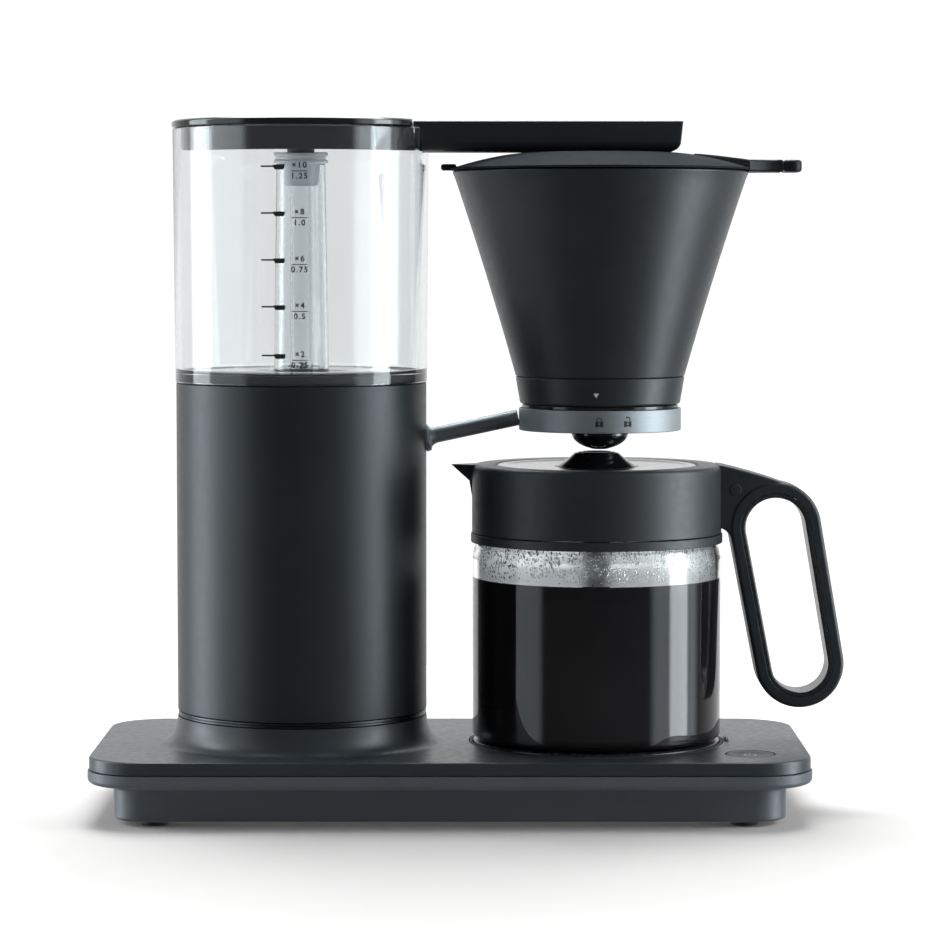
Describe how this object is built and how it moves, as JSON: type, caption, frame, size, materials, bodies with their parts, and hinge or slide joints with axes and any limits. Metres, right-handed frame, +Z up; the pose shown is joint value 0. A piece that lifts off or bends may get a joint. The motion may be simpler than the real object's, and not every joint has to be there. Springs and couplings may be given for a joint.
{
  "type": "drip coffee maker",
  "caption": "Drip coffee maker on a low base: clear water tank on a round tower, outlet arm, filter cone in a steel ring, glass jug with a loop handle on a warming plate.",
  "frame": {"origin": "middle of the whole object in plan, on the surface that it stands on", "axes": "+Z up; +X along the base from the tank to the jug's handle; the front, with the scale and the button, faces -Y"},
  "size_m": [0.38, 0.164, 0.3494],
  "materials": {
    "charcoal_plastic": "fine-textured moulded plastic, satin, charcoal with a cool tint",
    "anthracite_sleeve": "satin anthracite lacquer on a drawn tube",
    "gloss_black": "polished black plastic",
    "soft_black": "soft-touch elastomer",
    "black_rubber": "matt rubber",
    "brushed_steel": "stainless steel, brushed round",
    "stainless": "drawn stainless tube",
    "spring_steel": "spring wire",
    "zinc_steel": "zinc-plated sheet steel",
    "pale_trim": "pale anodised ring",
    "coated_plate": "non-stick coated warming plate",
    "cast_aluminium": "die-cast, as cast",
    "clear_plastic": "clear moulded plastic",
    "jug_glass": "clear borosilicate glass",
    "silicone": "translucent grey silicone",
    "white_plastic": "heat-resistant natural plastic",
    "circuit_board": "circuit board with parts"
  },
  "bodies": {
    "root": {"base_cover": "charcoal_plastic", "base_housing": "charcoal_plastic", "base_pan": "zinc_steel", "foot_front_left": "black_rubber", "foot_rear_left": "black_rubber", "foot_front_right": "black_rubber", "foot_rear_right": "black_rubber", "pan_screw_front_left": "zinc_steel", "pan_screw_rear_left": "zinc_steel", "pan_screw_front_right": "zinc_steel", "pan_screw_rear_right": "zinc_steel", "hot_plate": "coated_plate", "hot_plate_seal": "black_rubber", "plate_heater": "stainless", "plate_thermostat": "white_plastic", "button_spring": "spring_steel", "power_switch": "white_plastic", "power_board": "circuit_board", "cord_gland": "black_rubber", "tower_sleeve": "anthracite_sleeve", "sleeve_trim_ring": "pale_trim", "tower_frame": "white_plastic", "tank_dock": "charcoal_plastic", "dock_seal": "black_rubber", "boiler": "cast_aluminium", "boiler_bracket": "zinc_steel", "boiler_thermostat": "white_plastic", "check_valve": "white_plastic", "inlet_hose": "silicone", "outlet_hose": "silicone", "riser_tube": "clear_plastic", "support_rod": "brushed_steel", "holder_ring": "brushed_steel"},
    "power_button": {"power_button": "charcoal_plastic"},
    "filter_seat": {"filter_seat": "gloss_black"},
    "filter": {"filter_cone": "charcoal_plastic", "filter_collar": "charcoal_plastic", "nozzle": "gloss_black", "filter_handle": "charcoal_plastic", "handle_tip": "soft_black", "drip_spring": "spring_steel"},
    "filter_lid": {"filter_lid": "charcoal_plastic"},
    "drip_stop": {"drip_stop": "gloss_black"},
    "tank": {"tank_shell": "clear_plastic", "column_seal": "silicone", "valve_spring": "spring_steel"},
    "tank_valve": {"valve_poppet": "silicone"},
    "outlet_arm": {"outlet_arm": "charcoal_plastic", "arm_underside": "charcoal_plastic", "shower_head": "charcoal_plastic"},
    "tank_lid": {"tank_lid": "gloss_black"},
    "jug": {"jug_glass": "jug_glass", "jug_band": "charcoal_plastic", "jug_collar": "charcoal_plastic", "jug_handle": "charcoal_plastic", "handle_liner": "soft_black", "handle_screw_cap": "charcoal_plastic"},
    "jug_lid": {"jug_lid": "charcoal_plastic", "mixing_tube": "charcoal_plastic"}
  },
  "joints": [
    {"name": "button_press", "type": "slide", "parent": "root", "child": "power_button", "axis": [0, 0, -1], "range_m": [0, 0.0018], "stiffness_N_per_m": 400, "springref_m": -0.003, "deforming": ["button_spring"]},
    {"name": "filter_twist", "type": "hinge", "parent": "root", "child": "filter_seat", "pos_m": [0.0661, 0, 0.2], "axis": [0, 0, 1], "range_deg": [0, 20]},
    {"name": "filter_lift", "type": "slide", "parent": "filter_seat", "child": "filter", "axis": [0, 0, 1], "range_m": [0, 0.06]},
    {"name": "filter_lid_lift", "type": "slide", "parent": "filter", "child": "filter_lid", "axis": [0, 0, 1], "range_m": [0, 0.03]},
    {"name": "drip_stop_press", "type": "slide", "parent": "filter", "child": "drip_stop", "axis": [0, 0, 1], "range_m": [0, 0.003], "stiffness_N_per_m": 150, "springref_m": -0.004, "deforming": ["drip_spring"]},
    {"name": "tank_lift", "type": "slide", "parent": "root", "child": "tank", "axis": [0, 0, 1], "range_m": [0, 0.125]},
    {"name": "tank_valve_close", "type": "slide", "parent": "tank", "child": "tank_valve", "axis": [0, 0, -1], "range_m": [0, 0.002], "deforming": ["valve_spring"]},
    {"name": "arm_lift", "type": "slide", "parent": "tank", "child": "outlet_arm", "axis": [0, 0, 1], "range_m": [0, 0.1]},
    {"name": "tank_lid_lift", "type": "slide", "parent": "outlet_arm", "child": "tank_lid", "axis": [0, 0, 1], "range_m": [0, 0.05]},
    {"name": "jug_slide", "type": "slide", "parent": "root", "child": "jug", "axis": [0, -1, 0], "range_m": [0, 0.2]},
    {"name": "jug_lid_twist", "type": "hinge", "parent": "jug", "child": "jug_lid", "pos_m": [0.0645, 0, 0.173], "axis": [0, 0, 1], "range_deg": [0, 30]}
  ],
  "couplings": [
    {"joint": "filter_lift", "follows": "arm_lift", "ratio": 0.6},
    {"joint": "filter_lid_lift", "follows": "arm_lift", "ratio": 0.25},
    {"joint": "tank_valve_close", "follows": "tank_lift", "ratio": 0.016}
  ]
}
